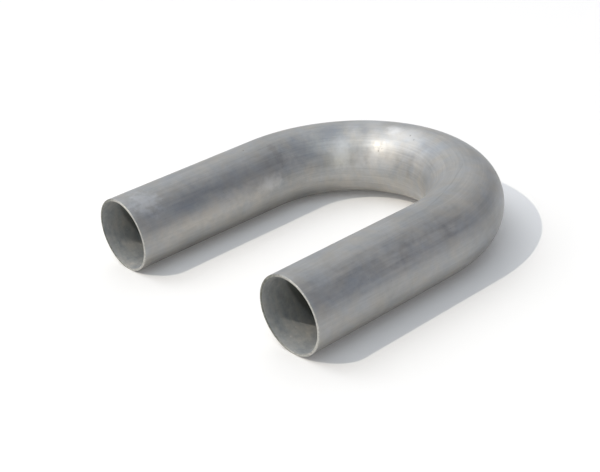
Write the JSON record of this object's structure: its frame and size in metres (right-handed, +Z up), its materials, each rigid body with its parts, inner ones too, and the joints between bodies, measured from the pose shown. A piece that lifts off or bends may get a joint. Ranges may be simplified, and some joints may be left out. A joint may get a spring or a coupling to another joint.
{
  "type": "return bend",
  "caption": "Thin-walled round metal tube bent through a half turn into a U, with straight open legs, that leads a pipe or duct run back alongside itself.",
  "frame": {"origin": "middle of the bounding box at its bottom, on the surface that the bend lies on", "axes": "+Z up, square to the plane of the bend; -Y the way both open ends face; +X from the longer leg towards the shorter one"},
  "size_m": [0.2666, 0.2857, 0.0635],
  "materials": {
    "mill_aluminium": "bare mill finish, dull grey, with fine streaks along the tube and faint handling marks"
  },
  "bodies": {
    "root": {"return_bend": "mill_aluminium"}
  },
  "joints": []
}
